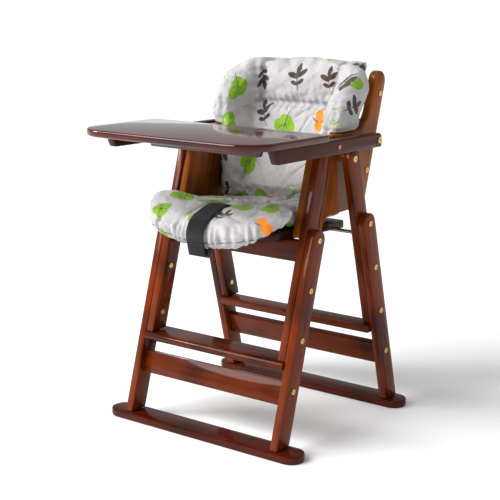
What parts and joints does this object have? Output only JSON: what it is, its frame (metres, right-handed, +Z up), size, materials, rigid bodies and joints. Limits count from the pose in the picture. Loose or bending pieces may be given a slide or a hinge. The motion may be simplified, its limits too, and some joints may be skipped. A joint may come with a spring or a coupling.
{
  "type": "folding baby high chair",
  "caption": "Folding wooden baby high chair with leaning leg frames on foot bars, a footrest, a flip-up tray, side panels with armrests and a padded seat and back liner.",
  "frame": {"origin": "middle of the footprint box, at floor level", "axes": "+Z up, -Y the front where the child faces, +X the child's left; the two sides mirror each other across X=0. Node names' left and right are as seen from in front, so right is at +X"},
  "size_m": [0.5502, 0.6074, 0.822],
  "materials": {
    "panels": "stained and lacquered, glossy",
    "legs": "stained and lacquered, glossy",
    "foot_bars": "stained and lacquered, glossy",
    "rails": "stained and lacquered, glossy",
    "tray": "stained and lacquered, high gloss",
    "fasteners": "brass plated",
    "rod": "zinc plated",
    "liner": "printed cotton",
    "webbing": "woven",
    "buckle": "moulded"
  },
  "bodies": {
    "front_frame": {"back_cushion": "liner", "back_lower_slat": "rails", "back_lower_slat_screw_left": "fasteners", "back_lower_slat_screw_right": "fasteners", "back_middle_slat": "rails", "back_top_rail": "rails", "back_top_rail_screw_left": "fasteners", "back_top_rail_screw_right": "fasteners", "crotch_strap": "webbing", "fold_pivot_bolt_left": "fasteners", "fold_pivot_bolt_right": "fasteners", "footrest_board": "rails", "front_foot_bar": "foot_bars", "front_leg_bolt_left_1": "fasteners", "front_leg_bolt_left_2": "fasteners", "front_leg_bolt_left_3": "fasteners", "front_leg_bolt_right_1": "fasteners", "front_leg_bolt_right_2": "fasteners", "front_leg_bolt_right_3": "fasteners", "front_lower_leg_left": "legs", "front_lower_leg_right": "legs", "front_stretcher": "rails", "front_stretcher_bolt_left": "fasteners", "front_stretcher_bolt_right": "fasteners", "front_upper_leg_left": "legs", "front_upper_leg_right": "legs", "seat_board": "rails", "seat_cushion": "liner", "seat_front_rail": "rails", "side_panel_left": "panels", "side_panel_right": "panels", "strap_buckle": "buckle", "tray_pivot_bolt_left": "fasteners", "tray_pivot_bolt_right": "fasteners"},
    "rear_frame": {"rear_foot_bar": "foot_bars", "rear_leg_bolt_left_1": "fasteners", "rear_leg_bolt_left_2": "fasteners", "rear_leg_bolt_left_3": "fasteners", "rear_leg_bolt_right_1": "fasteners", "rear_leg_bolt_right_2": "fasteners", "rear_leg_bolt_right_3": "fasteners", "rear_lower_leg_left": "legs", "rear_lower_leg_right": "legs", "rear_step_board": "rails", "rear_stretcher": "rails", "rear_stretcher_bolt_left": "fasteners", "rear_stretcher_bolt_right": "fasteners", "rear_upper_leg_left": "legs", "rear_upper_leg_right": "legs", "seat_support_rod": "rod"},
    "tray": {"arm_screw_left": "fasteners", "arm_screw_right": "fasteners", "tray_arm_left": "legs", "tray_arm_right": "legs", "tray_batten": "tray", "tray_board": "tray"}
  },
  "joints": [
    {"name": "rear_frame_fold", "type": "hinge", "parent": "front_frame", "child": "rear_frame", "pos_m": [0, 0.10653, 0.61663], "axis": [-1, 0, 0], "range_deg": [0, 31]},
    {"name": "tray_flip", "type": "hinge", "parent": "front_frame", "child": "tray", "pos_m": [0, 0.19197, 0.64969], "axis": [-1, 0, 0], "range_deg": [0, 215]}
  ]
}
